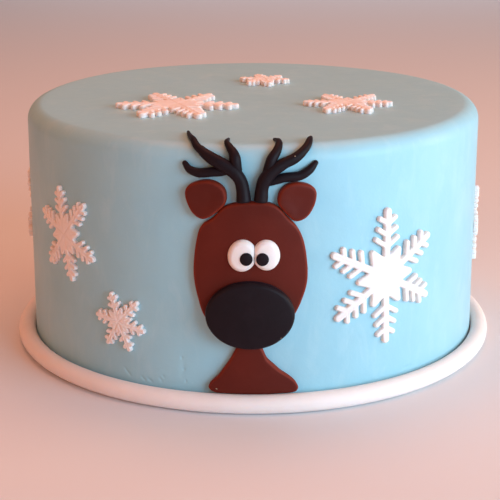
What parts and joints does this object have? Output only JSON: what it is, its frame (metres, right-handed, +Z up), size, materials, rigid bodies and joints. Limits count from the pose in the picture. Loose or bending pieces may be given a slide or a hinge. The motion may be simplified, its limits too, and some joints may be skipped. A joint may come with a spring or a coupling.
{
  "type": "fondant cake",
  "caption": "Tall round cake in pale blue sugarpaste with a cut-out reindeer on the front, white snowflakes all round and a white roll of paste at its foot.",
  "frame": {"origin": "centre of the flat underside, where the cake stands", "axes": "+Z up along the cake's axis, -Y out of the front towards whoever looks at the reindeer's face, +X to the right as seen from the front"},
  "size_m": [0.2242, 0.2236, 0.1133],
  "materials": {
    "blue_sugarpaste": "pale blue sugarpaste, matt with a faint sheen, with soft dusty streaks",
    "white_sugarpaste": "white sugarpaste, smooth and matt",
    "brown_sugarpaste": "reddish brown sugarpaste, satin",
    "black_sugarpaste": "black sugarpaste with a purple cast, satin"
  },
  "bodies": {
    "root": {"cake_body": "blue_sugarpaste", "base_roll": "white_sugarpaste", "head": "brown_sugarpaste", "neck": "brown_sugarpaste", "ear_left": "brown_sugarpaste", "ear_right": "brown_sugarpaste", "muzzle": "black_sugarpaste", "eye_left": "white_sugarpaste", "eye_right": "white_sugarpaste", "pupil_left": "black_sugarpaste", "pupil_right": "black_sugarpaste", "antler_left_beam": "black_sugarpaste", "antler_left_inner_tine": "black_sugarpaste", "antler_left_outer_tine": "black_sugarpaste", "antler_right_beam": "black_sugarpaste", "antler_right_inner_tine": "black_sugarpaste", "antler_right_outer_tine": "black_sugarpaste", "snowflake_top_large": "white_sugarpaste", "snowflake_top_medium": "white_sugarpaste", "snowflake_top_small": "white_sugarpaste", "snowflake_side_large": "white_sugarpaste", "snowflake_side_medium": "white_sugarpaste", "snowflake_side_small": "white_sugarpaste", "snowflake_side_edge": "white_sugarpaste", "snowflake_back_small_right": "white_sugarpaste", "snowflake_back_large_right": "white_sugarpaste", "snowflake_back_small_left": "white_sugarpaste", "snowflake_back_medium": "white_sugarpaste", "snowflake_back_large_left": "white_sugarpaste"}
  },
  "joints": []
}
